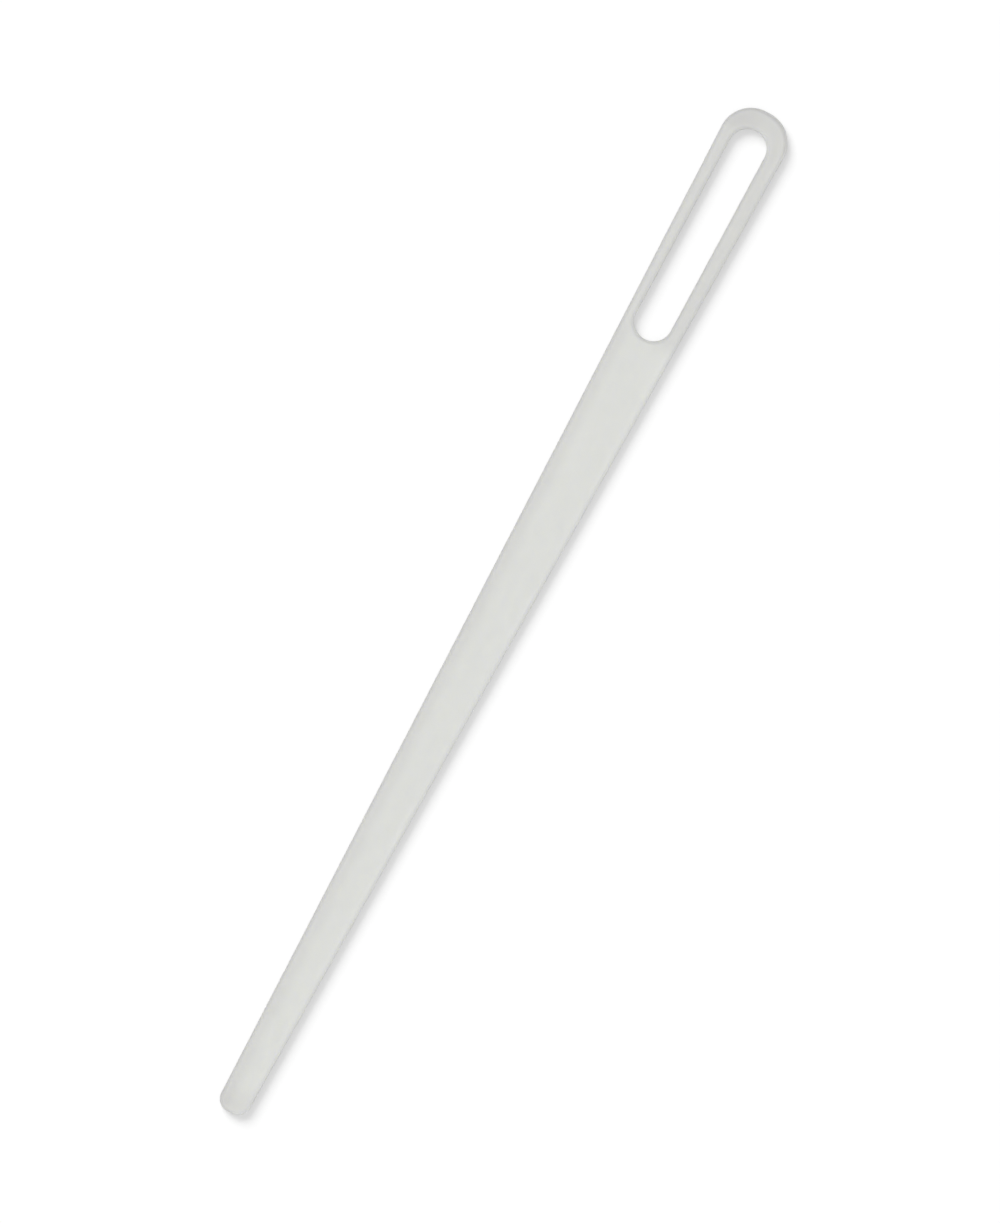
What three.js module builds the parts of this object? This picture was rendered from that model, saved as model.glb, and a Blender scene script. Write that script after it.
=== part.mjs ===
// A drawcord threading needle: one flat strip of milky plastic, moulded in a single piece,
// with a blunt rounded tip at one end and a long eye for the cord in the wider head.
// Millimetres, +Z up. The needle lies flat along X, with its eye towards +X. The origin is
// the middle of its length and width, on the surface that it lies on.

import * as THREE from "three";

// Outline, seen from above
const length = 170; // end of the tip to end of the head
const headWidth = 10.5; // across the head, where its corners begin
const headFlat = 0.7; // the straight stretch between the two round corners of the head's end
const tipWidth = 4.9; // across the tip, where its corners begin
const tipFlat = 0.8; // the straight stretch between the two round corners of the tip's end

// Eye
const eyeWidth = 5.8;
const eyeLength = 35.3; // between the far points of its two round ends
const crownDepth = 3.3; // from the eye to the end of the head, along the middle
const eyeOffset = 0.25; // the eye sits this much nearer the needle's +Y edge

// Section
const thickness = 1.8;
const edgeRadius = 0.6; // rounds the rims of the outline and of the eye, above and below
const roundedShare = 0.45; // the most of a narrow bar's width that one rim's rounding takes up

// Fineness
const arcSteps = 24; // steps round each corner of the outline, and round each end of the eye
const edgeSteps = 4; // steps across each rounded rim

const plasticColour = new THREE.Color().setRGB(0.865, 0.87, 0.85, THREE.SRGBColorSpace);

// The corners at each end of the outline: their radius, and how far along X their centres are
const headRadius = (headWidth - headFlat) / 2;
const tipRadius = (tipWidth - tipFlat) / 2;
const headCentre = length / 2 - headRadius;
const tipCentre = tipRadius - length / 2;

// The eye's two round ends, in the same way
const eyeRadius = eyeWidth / 2;
const eyeFarCentre = length / 2 - crownDepth - eyeRadius;
const eyeNearCentre = eyeFarCentre - eyeLength + eyeWidth;

// The angle between a long side, which touches a corner of both ends, and the X axis
function sideTaper() {
  const run = headCentre - tipCentre;
  const rise = (headFlat - tipFlat) / 2;
  return Math.atan2(rise, run) + Math.asin((headRadius - tipRadius) / Math.hypot(run, rise));
}

// The rims' rounding. It gives way where the bars beside the eye, or the strip's thickness,
// would be too small for it. The narrowest place is on the +Y side, at the eye's near end.
function rimRadius() {
  const taper = sideTaper();
  const back = (headCentre - eyeNearCentre) * Math.sin(taper);
  const side = headFlat / 2 + (headRadius - back) / Math.cos(taper);
  const narrowestBar = side - eyeOffset - eyeRadius;
  return Math.min(edgeRadius, roundedShare * narrowestBar, roundedShare * thickness);
}

// The strip's outline: each end is two round corners with a short straight stretch between
// them, and each long side is the straight line that touches a corner of both ends.
function outlineShape() {
  const touch = Math.PI / 2 + sideTaper(); // where the +Y side leaves its corners, from +X
  const shape = new THREE.Shape();
  shape.absarc(headCentre, -headFlat / 2, headRadius, -touch, 0, false);
  shape.absarc(headCentre, headFlat / 2, headRadius, 0, touch, false);
  shape.absarc(tipCentre, tipFlat / 2, tipRadius, touch, Math.PI, false);
  shape.absarc(tipCentre, -tipFlat / 2, tipRadius, Math.PI, 2 * Math.PI - touch, false);
  return shape;
}

// The eye: a straight slot with a half-round at each end.
function eyePath() {
  const quarter = Math.PI / 2;
  const path = new THREE.Path();
  path.absarc(eyeFarCentre, eyeOffset, eyeRadius, -quarter, quarter, false);
  path.absarc(eyeNearCentre, eyeOffset, eyeRadius, quarter, -quarter, false);
  return path;
}

// The outline with the eye in it, at full thickness. The bevel's quarter rounds are taken
// out of the outline's own size, so the widths above are the real ones.
function needleGeometry() {
  const radius = rimRadius();
  const shape = outlineShape();
  shape.holes.push(eyePath());
  const geometry = new THREE.ExtrudeGeometry(shape, {
    depth: thickness - 2 * radius,
    curveSegments: arcSteps / 2,
    bevelEnabled: true,
    bevelThickness: radius,
    bevelSize: radius,
    bevelOffset: -radius,
    bevelSegments: edgeSteps,
  });
  return geometry.translate(0, 0, radius);
}

const plastic = new THREE.MeshStandardMaterial({
  color: plasticColour,
  roughness: 0.42,
  metalness: 0,
});

const needle = new THREE.Mesh(needleGeometry(), plastic);
needle.name = "needle";

const threadingNeedle = new THREE.Group();
threadingNeedle.add(needle);

export default threadingNeedle;
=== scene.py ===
import math

import bmesh
import bpy
from mathutils import Matrix, Vector


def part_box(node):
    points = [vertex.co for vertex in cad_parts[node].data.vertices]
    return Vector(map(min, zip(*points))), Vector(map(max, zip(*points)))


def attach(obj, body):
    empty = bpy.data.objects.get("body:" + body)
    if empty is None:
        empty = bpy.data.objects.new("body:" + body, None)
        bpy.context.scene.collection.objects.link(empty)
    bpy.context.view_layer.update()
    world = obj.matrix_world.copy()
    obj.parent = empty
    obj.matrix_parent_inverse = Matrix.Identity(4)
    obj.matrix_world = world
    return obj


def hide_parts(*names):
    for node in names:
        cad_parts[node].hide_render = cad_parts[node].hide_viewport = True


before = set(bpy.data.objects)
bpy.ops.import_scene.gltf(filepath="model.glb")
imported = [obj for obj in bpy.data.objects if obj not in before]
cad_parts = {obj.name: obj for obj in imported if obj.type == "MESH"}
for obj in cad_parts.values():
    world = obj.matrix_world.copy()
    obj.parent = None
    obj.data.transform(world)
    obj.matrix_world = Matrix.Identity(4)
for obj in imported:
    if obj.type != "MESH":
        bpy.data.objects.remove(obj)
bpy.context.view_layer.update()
NODE_LOW, NODE_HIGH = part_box("needle")

# Units: the needle is modelled in millimetres and then brought to metres
MM = 0.001

# Sizes that the solid needle gives, in millimetres
LENGTH = (NODE_HIGH.x - NODE_LOW.x) / MM
HEAD_WIDTH = (NODE_HIGH.y - NODE_LOW.y) / MM
THICKNESS = (NODE_HIGH.z - NODE_LOW.z) / MM

# The rest of the outline, in millimetres
HEAD_FLAT = 0.7  # the straight stretch between the two round corners of the head's end
TIP_WIDTH = 4.9
TIP_FLAT = 0.8  # the straight stretch between the two round corners of the tip's end
EYE_WIDTH = 5.8
EYE_LENGTH = 35.3
CROWN_DEPTH = 3.3  # from the eye to the end of the head
EYE_OFFSET = 0.25  # towards +Y
EDGE_RADIUS = 0.6  # rounds the rims of the outline and of the eye, above and below

# Marks that the mould leaves, in millimetres
FLASH = 0.02  # how far the parting line stands out of the walls
FLASH_WIDTH = 0.12
PIN_PLACES = (-70, -33, 4, 41)  # along X: where pins pushed the needle out by its underside
PIN_RADIUS = 1.25
PIN_DEPTH = 0.05
GATE_PLACE = 22  # along X: the dimple in the underside where the plastic flowed in
GATE_RADIUS = 0.8
GATE_DEPTH = 0.15
STUB_RADIUS = 0.35  # of the torn stub in the dimple's middle
STUB_HEIGHT = 0.1
MARK_SLOPE = 0.05  # how far the wall of each of these leans

RIM_MARGIN = 0.06  # a narrow flat band inside the rounded rims, which keeps the faces flat

# Fineness
NEAR = 0.001  # vertices this close to a place are at it
CROWDED = 0.02  # vertices closer together than this become one
FLAT = 0.9999  # a face lies flat where its normal's share along Z, up or down, is more than this
NEARLY_FLAT = 0.9  # enough to tell the broad faces from the walls
ARC_STEPS = 192  # vertices of a full circle, before half of it is cut away
EDGE_STEPS = 10
MARK_STEPS = 32  # vertices round each mark in the underside
MARK_BEND = math.radians(20)  # edges of the marks that bend more than this stay crisp

# The photograph's frame, in pixels, and where the needle's two ends are in it
PHOTO_WIDTH = 1000
PHOTO_HEIGHT = 1223
HEAD_END_PX = Vector((767.9, 112.3))
TIP_END_PX = Vector((228.8, 1111.7))

# Camera, far off with a long lens, because the photograph shows the top square on
LENS = 280.0
SENSOR = 36.0
NEAREST_SEEN = 0.01  # from the camera, in metres

# Plastic, in linear colour, and how deep light sinks into it in millimetres
PLASTIC = (0.80, 0.808, 0.787, 1)
# the grey that the painted shade and the plastic's flow streaks go towards
PLASTIC_SHADE_AND_STREAK_GREY = (0.676, 0.674, 0.669, 1)
SINK_DEPTH = 2.0
SINK_SHARES = (1.0, 1.0, 0.85)  # of that depth, for red, green and blue light
PLASTIC_IOR = 1.5

# Satin skin: its streaks, its roughness from low to high, and its grain, in millimetres deep
SKIN_STRETCH = (0.35, 1, 1)
SKIN_SCALE = 1400
SKIN_DETAIL = 4
SKIN_RANGE = (0.2, 0.8)
SKIN_ROUGHNESS = (0.36, 0.48)
GRAIN_SCALE = 5200
GRAIN_DETAIL = 2
GRAIN_DEPTH = 0.004
GRAIN_STRENGTH = 0.5

# How far the plastic's colour goes to the grey, and where, in millimetres: painted shade everywhere
# but in the flow streaks, whose grey is the plastic's own
HEAD_PAINTED_SHADE = 0.5  # painted shade in the bars and crown round the eye, where the narrow plastic loses light
HEAD_START = (-1.5, 2)  # where it starts and is full, past the eye's near end
CORNER_PAINTED_SHADE = 0.3  # more painted shade in the crown's corner towards +Y
CORNER_START = 2  # how far before the eye's far end it starts
CORNER_ACROSS = (-0.5, 2.2)  # where it starts and is full, across the needle
SIDE_PAINTED_SHADE = 0.57  # painted shade along the +Y side
SIDE_REACH = 2.8  # how far in from the edge it goes
TIP_PAINTED_SHADE = 0.52  # painted shade at the tip
TIP_REACH = 6.0
SMOKE = 0.06  # in the faint streaks that the plastic's flow leaves
SMOKE_STRETCH = (0.12, 1, 1)
SMOKE_SCALE = 420
SMOKE_DETAIL = 3
SMOKE_RANGE = (0.3, 0.7)

# Painted shade and painted light along stretches of the round rims: the middle of the stretch, in
# degrees from +X, and how far the colour goes there to the grey, as painted shade, or, below 0, away
# from it, as painted light
CROWN_RIM_PAINTED_SHADE = (-40, 0.6)  # painted shade on the crown's corner towards -Y
# painted light round the eye's far and near ends
EYE_FAR_RIM_PAINTED_LIGHT = (-45, -0.5)
EYE_NEAR_RIM_PAINTED_LIGHT = (115, -0.4)
TIP_RIM_PAINTED_LIGHT = (-125, -0.5)  # painted light on the tip's corner towards -Y
RIM_SPREAD = (25, 65)  # how far each way from the middle it is full and ends, in degrees
PAINTED_SHADE_BAND = (0.15, 0.4, 0.5, 0.85)  # how far in from the edge the painted shade starts, is full, fades and ends
# how far in from the edge the painted light starts, is full, fades and ends
PAINTED_LIGHT_BAND = (-0.2, 0, 0.15, 0.5)

# Table and light. Angles are in degrees: a width is how wide a light looks, a turn is where it
# comes from, from the picture's right towards its top, and a rise is its height over the table.
TABLE_SIZE = 8.0
TABLE_GAP = 0.01  # between the needle and the table, in millimetres
TABLE_WHITE = (0.9, 0.9, 0.9, 1)
TABLE_ROUGHNESS = 0.9
OVERHEAD = 0.87
OVERHEAD_WIDTH = 36
SIDE_LIGHTS = ((180, 0.46), (-60, 0.40))  # each light's turn and strength
SIDE_RISE = 20
SIDE_WIDTH = 80
TABLE_LIGHT = 0.97
SHADOW_LIGHT = 1.70
SHADOW_TURN = 121
SHADOW_RISE = 43
SHADOW_WIDTH = 39
SURROUND = 0.458


def picture_axes():
    """The picture's right and up as directions on the table."""
    span = HEAD_END_PX - TIP_END_PX
    along = Vector((span.x, -span.y)).normalized()  # the needle's +X, seen in the picture
    return Vector((along.x, -along.y, 0.0)), Vector((along.y, along.x, 0.0))


def towards(turn, rise):
    """The direction with that turn and that rise."""
    right, up = picture_axes()
    turn = math.radians(turn)
    rise = math.radians(rise)
    level = right * math.cos(turn) + up * math.sin(turn)
    return level * math.cos(rise) + Vector((0.0, 0.0, math.sin(rise)))


def photo_camera():
    """Hangs the camera straight above, turned so that both ends fall on their pixels."""
    right, up = picture_axes()
    metres_per_pixel = LENGTH * MM / (HEAD_END_PX - TIP_END_PX).length
    middle = (HEAD_END_PX + TIP_END_PX) / 2
    across_px = (PHOTO_WIDTH - 1) / 2 - middle.x  # a whole number is the middle of a pixel
    up_px = middle.y - (PHOTO_HEIGHT - 1) / 2
    aim = (right * across_px + up * up_px) * metres_per_pixel
    distance = PHOTO_HEIGHT * metres_per_pixel * LENS / SENSOR
    turn = Matrix((right, up, Vector((0.0, 0.0, 1.0)))).transposed()
    camera = bpy.data.objects.new("camera", bpy.data.cameras.new("camera"))
    bpy.context.scene.collection.objects.link(camera)
    camera.data.lens = LENS
    camera.data.sensor_width = SENSOR
    camera.data.clip_start = NEAREST_SEEN
    camera.location = aim + Vector((0.0, 0.0, distance + THICKNESS * MM / 2))
    camera.rotation_euler = turn.to_euler()
    bpy.context.scene.camera = camera


def edit_mesh():
    """The mesh that is being edited."""
    return bmesh.from_edit_mesh(bpy.context.edit_object.data)


def pick_vertices(test):
    """Selects only the vertices whose place passes the test."""
    bpy.ops.mesh.select_mode(type="VERT")
    bpy.ops.mesh.select_all(action="DESELECT")
    mesh = edit_mesh()
    for vertex in mesh.verts:
        vertex.select = test(vertex.co)
    mesh.select_flush_mode()
    bmesh.update_edit_mesh(bpy.context.edit_object.data)


def pick_edges(test):
    """Selects only the edges that pass the test."""
    bpy.ops.mesh.select_mode(type="EDGE")
    bpy.ops.mesh.select_all(action="DESELECT")
    mesh = edit_mesh()
    for edge in mesh.edges:
        edge.select = test(edge)
    mesh.select_flush_mode()
    bmesh.update_edit_mesh(bpy.context.edit_object.data)


def pick_faces(test):
    """Selects only the faces that pass the test."""
    bpy.ops.mesh.select_mode(type="FACE")
    bpy.ops.mesh.select_all(action="DESELECT")
    mesh = edit_mesh()
    for face in mesh.faces:
        face.select = test(face)
    mesh.select_flush_mode()
    bmesh.update_edit_mesh(bpy.context.edit_object.data)


def rounded_end(centre_x, centre_y, radius, flat, cut_x, keep):
    """Adds a circle, cuts it across at cut_x, draws its two corners apart by the flat, and puts
    a vertex in the flat's middle. keep is 1 for the end towards +X and -1 for the other."""
    half_step = math.pi / ARC_STEPS
    centre = (centre_x, centre_y)
    bpy.ops.mesh.primitive_circle_add(
        vertices=ARC_STEPS, radius=radius, location=(*centre, 0), rotation=(0, 0, half_step)
    )
    bpy.ops.mesh.bisect(
        plane_co=(cut_x, 0, 0), plane_no=(keep, 0, 0), clear_inner=True, threshold=1e-5
    )
    for side in (1, -1):
        pick_vertices(
            lambda co: abs(math.dist(co.xy, centre) - radius) < NEAR and (co.y - centre_y) * side > 0
        )
        bpy.ops.transform.translate(value=(0, side * flat / 2, 0))
    end_x = centre_x + keep * radius * math.cos(half_step)
    pick_edges(lambda edge: all(abs(vertex.co.x - end_x) < NEAR for vertex in edge.verts))
    bpy.ops.mesh.subdivide(number_cuts=1)


def join(*places):
    """Draws an edge between the two vertices at these places."""
    pick_vertices(lambda co: any(math.dist(co.xy, place) < NEAR for place in places))
    bpy.ops.mesh.edge_face_add()


def closed_outline(front, back, centre_y):
    """Draws two ends and the straight sides that touch both. An end is given by the x of its
    corners' centres, their radius and the flat between them."""
    (front_x, front_radius, front_flat), (back_x, back_radius, back_flat) = front, back
    run = front_x - back_x
    rise = (front_flat - back_flat) / 2
    taper = math.atan2(rise, run) + math.asin((front_radius - back_radius) / math.hypot(run, rise))
    front_cut = front_x - front_radius * math.sin(taper)
    back_cut = back_x - back_radius * math.sin(taper)
    rounded_end(front_x, centre_y, front_radius, front_flat, front_cut, 1)
    rounded_end(back_x, centre_y, back_radius, back_flat, back_cut, -1)
    for side in (1, -1):
        front_y = centre_y + side * (front_flat / 2 + front_radius * math.cos(taper))
        back_y = centre_y + side * (back_flat / 2 + back_radius * math.cos(taper))
        join((front_cut, front_y), (back_cut, back_y))


def rims(edge):
    """Whether an edge lies between a flat face and a wall."""
    flats = sum(abs(face.normal.z) > NEARLY_FLAT for face in edge.link_faces)
    return flats == 1


def round_marks():
    """The place along X and the radius of every round mark, from the tip towards the eye."""
    return sorted([(x, PIN_RADIUS) for x in PIN_PLACES] + [(GATE_PLACE, GATE_RADIUS)])


def flat_outline():
    """Draws the outline, the eye and the round marks at height 0, and fills the rest as two
    halves, whose seam runs from mark to mark."""
    head_radius = (HEAD_WIDTH - HEAD_FLAT) / 2 - FLASH
    tip_radius = (TIP_WIDTH - TIP_FLAT) / 2 - FLASH
    head_x = LENGTH / 2 - FLASH - head_radius
    tip_x = FLASH + tip_radius - LENGTH / 2
    closed_outline((head_x, head_radius, HEAD_FLAT), (tip_x, tip_radius, TIP_FLAT), 0)

    eye_radius = EYE_WIDTH / 2 + FLASH
    far_x = LENGTH / 2 - CROWN_DEPTH - EYE_WIDTH / 2
    near_x = far_x - EYE_LENGTH + EYE_WIDTH
    closed_outline((far_x, eye_radius, 0), (near_x, eye_radius, 0), EYE_OFFSET)

    join((head_x + head_radius, 0), (far_x + eye_radius, EYE_OFFSET))
    seam_x = tip_x - tip_radius
    for x, radius in round_marks():
        bpy.ops.mesh.primitive_circle_add(vertices=MARK_STEPS, radius=radius, location=(x, 0, 0))
        join((seam_x, 0), (x - radius, 0))
        seam_x = x + radius
    join((seam_x, 0), (near_x - eye_radius, EYE_OFFSET))
    bpy.ops.mesh.select_all(action="SELECT")
    bpy.ops.mesh.remove_doubles(threshold=CROWDED)
    eye = (near_x - eye_radius, far_x + eye_radius, eye_radius)
    for side in (1, -1):
        pick_vertices(lambda co: on_side(co, side, eye))
        bpy.ops.mesh.edge_face_add()
    for x, radius in round_marks():
        pick_vertices(lambda co: math.dist(co.xy, (x, 0)) < radius + NEAR)
        bpy.ops.mesh.edge_face_add()


def on_side(co, side, eye):
    """Whether a vertex is on that side of the middle, which at the eye is the eye's own."""
    low_x, high_x, radius = eye
    on_eye = low_x - NEAR < co.x < high_x + NEAR and abs(co.y - EYE_OFFSET) < radius + NEAR
    middle = EYE_OFFSET if on_eye else 0
    return (co.y - middle) * side > -NEAR


def raise_parting_line():
    """Draws three lines round the middle of the walls and lifts the middle one."""
    pick_edges(lambda edge: abs(edge.verts[0].co.z - edge.verts[1].co.z) > THICKNESS / 2)
    bpy.ops.mesh.subdivide(number_cuts=3)
    quarter = THICKNESS / 4
    shift = quarter - FLASH_WIDTH / 2
    pick_vertices(lambda co: abs(co.z - quarter) < NEAR)
    bpy.ops.transform.translate(value=(0, 0, shift))
    pick_vertices(lambda co: abs(co.z - 3 * quarter) < NEAR)
    bpy.ops.transform.translate(value=(0, 0, -shift))
    pick_vertices(lambda co: abs(co.z - 2 * quarter) < NEAR)
    bpy.ops.transform.shrink_fatten(value=FLASH)


def press(x, radius, inset, rise):
    """Insets the flat round face at x in the underside, and raises it along its normal."""
    pick_faces(
        lambda face: face.normal.z < -FLAT
        and all(math.dist(vertex.co.xy, (x, 0)) < radius + NEAR for vertex in face.verts)
    )
    bpy.ops.mesh.inset(thickness=inset, depth=rise)


def on_mark(edge):
    """Whether an edge belongs to a round mark in the underside."""
    return all(
        vertex.co.z < THICKNESS / 4
        and any(math.dist(vertex.co.xy, (x, 0)) < radius + NEAR for x, radius in round_marks())
        for vertex in edge.verts
    )


def press_marks():
    """Presses the pins' marks and the gate's dimple, with its stub, into the underside."""
    for x in PIN_PLACES:
        press(x, PIN_RADIUS, MARK_SLOPE, -PIN_DEPTH)
    floor_radius = GATE_RADIUS - MARK_SLOPE
    press(GATE_PLACE, GATE_RADIUS, MARK_SLOPE, -GATE_DEPTH)
    press(GATE_PLACE, floor_radius, floor_radius - STUB_RADIUS, 0)
    press(GATE_PLACE, STUB_RADIUS, MARK_SLOPE, STUB_HEIGHT)
    pick_edges(lambda edge: on_mark(edge) and edge.calc_face_angle(0) > MARK_BEND)
    bpy.ops.mesh.mark_sharp()


def modelled_needle():
    """The moulded strip as one closed mesh, brought to metres at the end."""
    bpy.ops.object.select_all(action="DESELECT")
    bpy.ops.mesh.primitive_plane_add(size=1, location=(0, 0, 0))
    needle = bpy.context.object
    needle.name = "moulded_needle"
    needle.data.name = "moulded_needle"
    bpy.ops.object.mode_set(mode="EDIT")
    bpy.ops.mesh.select_all(action="SELECT")
    bpy.ops.mesh.delete(type="VERT")
    flat_outline()

    bpy.ops.mesh.select_all(action="SELECT")
    bpy.ops.mesh.extrude_region_move(TRANSFORM_OT_translate={"value": (0, 0, THICKNESS)})
    bpy.ops.mesh.select_all(action="SELECT")
    bpy.ops.mesh.normals_make_consistent(inside=False)
    raise_parting_line()

    pick_edges(rims)
    bpy.ops.mesh.bevel(
        offset=EDGE_RADIUS, segments=EDGE_STEPS, profile=0.5, offset_type="OFFSET", clamp_overlap=False
    )
    pick_faces(lambda face: abs(face.normal.z) > FLAT)
    bpy.ops.mesh.inset(thickness=RIM_MARGIN)
    press_marks()

    bpy.ops.mesh.select_all(action="SELECT")
    bpy.ops.transform.resize(value=(MM, MM, MM), center_override=(0, 0, 0))
    bpy.ops.object.mode_set(mode="OBJECT")
    bpy.ops.object.shade_smooth()
    return needle


def new_material(name):
    """A new material with nothing but its main shader: the material, its nodes and the shader."""
    material = bpy.data.materials.new(name)
    material.use_nodes = True
    tree = material.node_tree
    return material, tree, tree.nodes["Principled BSDF"]


def stretched_noise(tree, stretch, scale, detail):
    """Noise on the object's own coordinates, drawn out along the axes by stretch."""
    place = tree.nodes.new("ShaderNodeTexCoord")
    mapping = tree.nodes.new("ShaderNodeMapping")
    mapping.inputs["Scale"].default_value = stretch
    noise = tree.nodes.new("ShaderNodeTexNoise")
    noise.inputs["Scale"].default_value = scale
    noise.inputs["Detail"].default_value = detail
    tree.links.new(place.outputs["Object"], mapping.inputs["Vector"])
    tree.links.new(mapping.outputs["Vector"], noise.inputs["Vector"])
    return noise.outputs["Fac"]


def eased(tree, value, start, end, low, high):
    """Turns a value that goes from start to end into one that eases from low to high."""
    spread = tree.nodes.new("ShaderNodeMapRange")
    spread.interpolation_type = "SMOOTHSTEP"
    spread.inputs["From Min"].default_value = start
    spread.inputs["From Max"].default_value = end
    spread.inputs["To Min"].default_value = low
    spread.inputs["To Max"].default_value = high
    tree.links.new(value, spread.inputs["Value"])
    return spread.outputs["Result"]


def joined(tree, operation, first, second):
    """The sum, the larger or the like of two values."""
    node = tree.nodes.new("ShaderNodeMath")
    node.operation = operation
    tree.links.new(first, node.inputs[0])
    tree.links.new(second, node.inputs[1])
    return node.outputs["Value"]


def scaled(tree, value, factor):
    """A value times a fixed factor."""
    node = tree.nodes.new("ShaderNodeMath")
    node.operation = "MULTIPLY"
    node.inputs[1].default_value = factor
    tree.links.new(value, node.inputs[0])
    return node.outputs["Value"]


def vector_step(tree, operation, vector):
    """A node that does that operation to a vector."""
    node = tree.nodes.new("ShaderNodeVectorMath")
    node.operation = operation
    tree.links.new(vector, node.inputs[0])
    return node


def painted_rim_shade(tree, centre, radius, inward, stretch):
    """The painted shade or painted light along a stretch of a round rim, as a change of grey. inward
    is 1 where the plastic is on the side of the rim's centre, and -1 where it is outside the rim, as
    at the eye."""
    middle, amount = stretch
    middle = math.radians(middle)
    place = tree.nodes.new("ShaderNodeTexCoord")
    flat = tree.nodes.new("ShaderNodeMapping")  # the place seen from above, from the rim's centre
    flat.inputs["Scale"].default_value = (1, 1, 0)
    flat.inputs["Location"].default_value = (-centre[0] * MM, -centre[1] * MM, 0)
    tree.links.new(place.outputs["Object"], flat.inputs["Vector"])

    distance = vector_step(tree, "LENGTH", flat.outputs["Vector"]).outputs["Value"]
    band = PAINTED_SHADE_BAND if amount > 0 else PAINTED_LIGHT_BAND
    start, full, fade, end = [(radius - inward * depth) * MM for depth in band]
    rise = eased(tree, distance, start, full, 0, 1)
    fall = eased(tree, distance, fade, end, 1, 0)

    direction = vector_step(tree, "NORMALIZE", flat.outputs["Vector"]).outputs["Vector"]
    closeness = vector_step(tree, "DOT_PRODUCT", direction)
    closeness.inputs[1].default_value = (math.cos(middle), math.sin(middle), 0)
    near, far = [math.cos(math.radians(spread)) for spread in RIM_SPREAD]
    round_the_rim = eased(tree, closeness.outputs["Value"], far, near, 0, amount)
    return joined(tree, "MULTIPLY", joined(tree, "MULTIPLY", rise, fall), round_the_rim)


def painted_rim_shades(tree):
    """The painted shade and painted light along the round rims, which make them darker or lighter than
    beside them.
    """
    head_radius = (HEAD_WIDTH - HEAD_FLAT) / 2
    tip_radius = (TIP_WIDTH - TIP_FLAT) / 2
    eye_radius = EYE_WIDTH / 2
    head = (LENGTH / 2 - head_radius, -HEAD_FLAT / 2)
    tip = (tip_radius - LENGTH / 2, -TIP_FLAT / 2)
    far = (LENGTH / 2 - CROWN_DEPTH - eye_radius, EYE_OFFSET)
    near = (far[0] - EYE_LENGTH + EYE_WIDTH, EYE_OFFSET)
    return [
        painted_rim_shade(tree, head, head_radius, 1, CROWN_RIM_PAINTED_SHADE),
        painted_rim_shade(tree, far, eye_radius, -1, EYE_FAR_RIM_PAINTED_LIGHT),
        painted_rim_shade(tree, near, eye_radius, -1, EYE_NEAR_RIM_PAINTED_LIGHT),
        painted_rim_shade(tree, tip, tip_radius, 1, TIP_RIM_PAINTED_LIGHT),
    ]


def streak_and_painted_shade_share(tree):
    """How far the plastic's colour goes to the grey at a place: painted shade round the eye, along one
    side, at the tip and in the crown's corner, real grey in the streaks of flow, and painted shade or
    painted light along the round rims."""
    place = tree.nodes.new("ShaderNodeTexCoord")
    axes = tree.nodes.new("ShaderNodeSeparateXYZ")
    tree.links.new(place.outputs["Object"], axes.inputs["Vector"])
    along = axes.outputs["X"]
    across = axes.outputs["Y"]
    eye_end = (LENGTH / 2 - CROWN_DEPTH - EYE_LENGTH) * MM
    crown = (LENGTH / 2 - CROWN_DEPTH) * MM
    tip_end = -LENGTH / 2 * MM
    head_start, head_full = [eye_end + past * MM for past in HEAD_START]
    head = eased(tree, along, head_start, head_full, 0, HEAD_PAINTED_SHADE)
    beyond_eye = eased(tree, along, crown - CORNER_START * MM, crown, 0, CORNER_PAINTED_SHADE)
    corner_start, corner_full = [past * MM for past in CORNER_ACROSS]
    towards_corner = eased(tree, across, corner_start, corner_full, 0, 1)
    corner = joined(tree, "MULTIPLY", beyond_eye, towards_corner)
    tip = eased(tree, along, tip_end + TIP_REACH * MM, tip_end, 0, TIP_PAINTED_SHADE)

    # The +Y edge runs aslant, so its slant is taken off to measure from the edge inwards
    half_slant = (HEAD_WIDTH - TIP_WIDTH) / 2 / (LENGTH - HEAD_WIDTH / 2 - TIP_WIDTH / 2)
    level = joined(tree, "ADD", across, scaled(tree, along, -half_slant))
    edge = (HEAD_WIDTH / 2 - (LENGTH / 2 - HEAD_WIDTH / 2) * half_slant) * MM
    side = eased(tree, level, edge - SIDE_REACH * MM, edge, 0, SIDE_PAINTED_SHADE)

    streaks = stretched_noise(tree, SMOKE_STRETCH, SMOKE_SCALE, SMOKE_DETAIL)
    flow = eased(tree, streaks, *SMOKE_RANGE, 0, SMOKE)
    share = joined(tree, "MAXIMUM", head, side)
    for more in (corner, tip, flow, *painted_rim_shades(tree)):
        share = joined(tree, "ADD", share, more)
    return share


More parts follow.
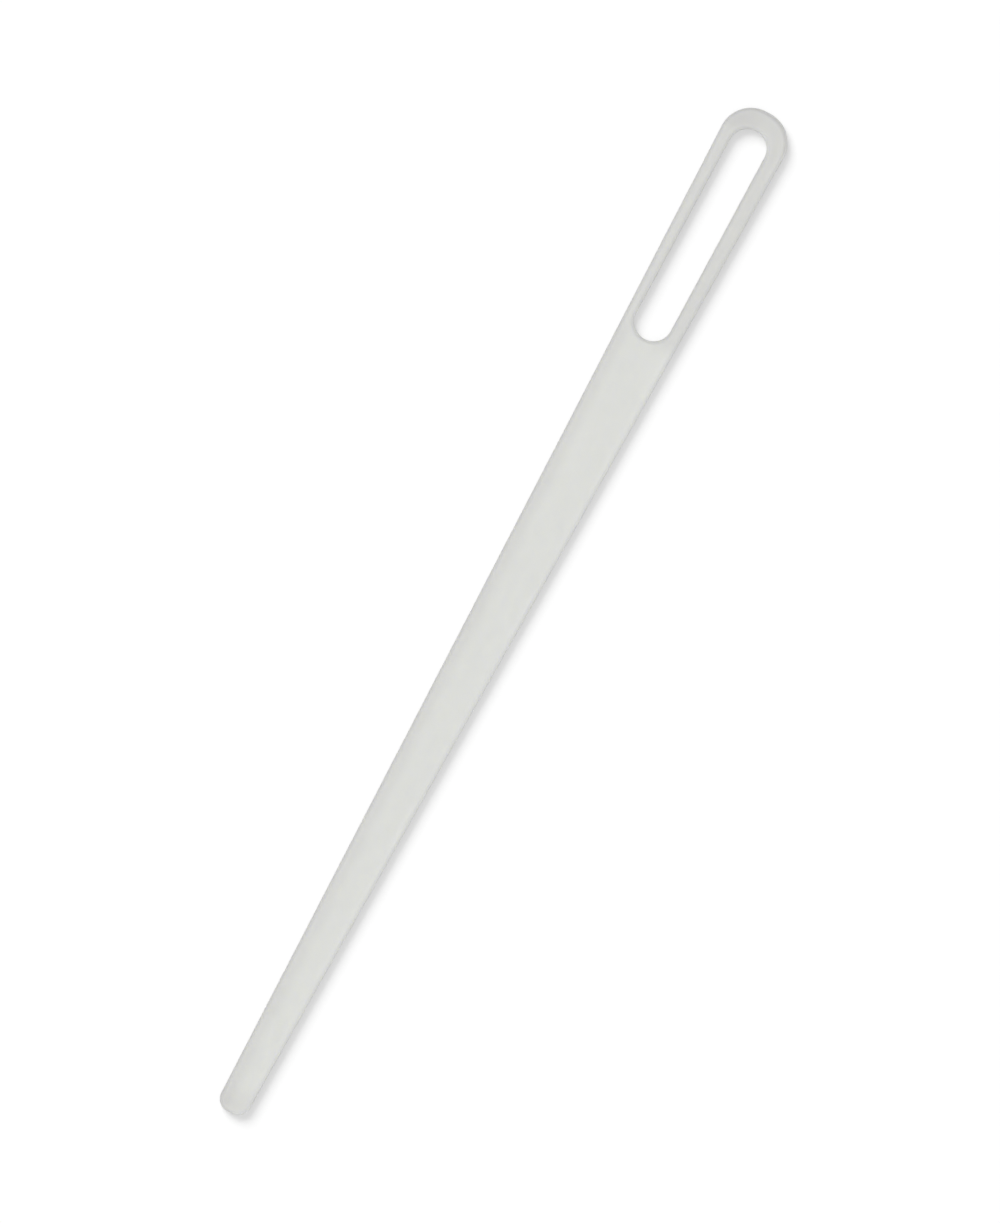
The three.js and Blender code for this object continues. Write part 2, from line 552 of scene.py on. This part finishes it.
def milky_plastic():
    """Natural milky plastic: light sinks into it, and the skin is satin."""
    material, tree, shader = new_material("milky_plastic")
    # the grey mixed into the plastic's colour is painted shade and painted light, except in the flow
    # streaks, where it is real
    tint = tree.nodes.new("ShaderNodeMix")
    tint.data_type = "RGBA"
    tint.inputs["A"].default_value = PLASTIC
    tint.inputs["B"].default_value = PLASTIC_SHADE_AND_STREAK_GREY
    tree.links.new(streak_and_painted_shade_share(tree), tint.inputs["Factor"])
    tree.links.new(tint.outputs["Result"], shader.inputs["Base Color"])

    skin = stretched_noise(tree, SKIN_STRETCH, SKIN_SCALE, SKIN_DETAIL)
    tree.links.new(eased(tree, skin, *SKIN_RANGE, *SKIN_ROUGHNESS), shader.inputs["Roughness"])

    grain = stretched_noise(tree, (1, 1, 1), GRAIN_SCALE, GRAIN_DETAIL)
    bump = tree.nodes.new("ShaderNodeBump")
    bump.inputs["Distance"].default_value = GRAIN_DEPTH * MM
    bump.inputs["Strength"].default_value = GRAIN_STRENGTH
    tree.links.new(grain, bump.inputs["Height"])
    tree.links.new(bump.outputs["Normal"], shader.inputs["Normal"])

    shader.inputs["Subsurface Weight"].default_value = 1.0
    shader.inputs["Subsurface Radius"].default_value = SINK_SHARES
    shader.inputs["Subsurface Scale"].default_value = SINK_DEPTH * MM
    shader.inputs["IOR"].default_value = PLASTIC_IOR
    return material


def white_table():
    """A wide matt white surface, a hair below the needle."""
    bpy.ops.object.select_all(action="DESELECT")
    bpy.ops.mesh.primitive_plane_add(size=TABLE_SIZE, location=(0, 0, -TABLE_GAP * MM))
    table = bpy.context.object
    table.name = "table"
    material, _tree, shader = new_material("matt_white")
    shader.inputs["Base Color"].default_value = TABLE_WHITE
    shader.inputs["Roughness"].default_value = TABLE_ROUGHNESS
    shader.inputs["Specular IOR Level"].default_value = 0.0
    table.data.materials.append(material)
    return table


def soft_light(name, direction, width_degrees, strength, things):
    """A far, wide light from that direction, which falls on these things alone."""
    lamp = bpy.data.lights.new(name, "SUN")
    lamp.angle = math.radians(width_degrees)
    lamp.energy = strength
    light = bpy.data.objects.new(name, lamp)
    light.rotation_euler = Vector(direction).to_track_quat("Z", "Y").to_euler()
    bpy.context.scene.collection.objects.link(light)
    receivers = bpy.data.collections.new(name + "_receivers")
    for thing in things:
        receivers.objects.link(thing)
    light.light_linking.receiver_collection = receivers
    return light


def studio(needle, table):
    """Soft light from overhead, a shadow on the table, and an even pale surround."""
    above = (0, 0, 1)
    soft_light("overhead", above, OVERHEAD_WIDTH, OVERHEAD, [needle])
    for turn, strength in SIDE_LIGHTS:
        soft_light(f"side_light_{turn}", towards(turn, SIDE_RISE), SIDE_WIDTH, strength, [needle])
    soft_light("shadow_light", towards(SHADOW_TURN, SHADOW_RISE), SHADOW_WIDTH, SHADOW_LIGHT, [table])
    table_light = soft_light("table_light", above, OVERHEAD_WIDTH, TABLE_LIGHT, [table])
    table_light.data.use_shadow = False
    table.visible_diffuse = False  # so the even surround lights the needle from below as well
    world = bpy.data.worlds.new("surround")
    world.use_nodes = True
    world.node_tree.nodes["Background"].inputs["Color"].default_value = (1, 1, 1, 1)
    world.node_tree.nodes["Background"].inputs["Strength"].default_value = SURROUND
    bpy.context.scene.world = world
    bpy.context.scene.view_settings.view_transform = "Standard"


photo_camera()
needle = modelled_needle()
needle.data.materials.append(milky_plastic())
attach(needle, "root")
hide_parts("needle")
studio(needle, white_table())
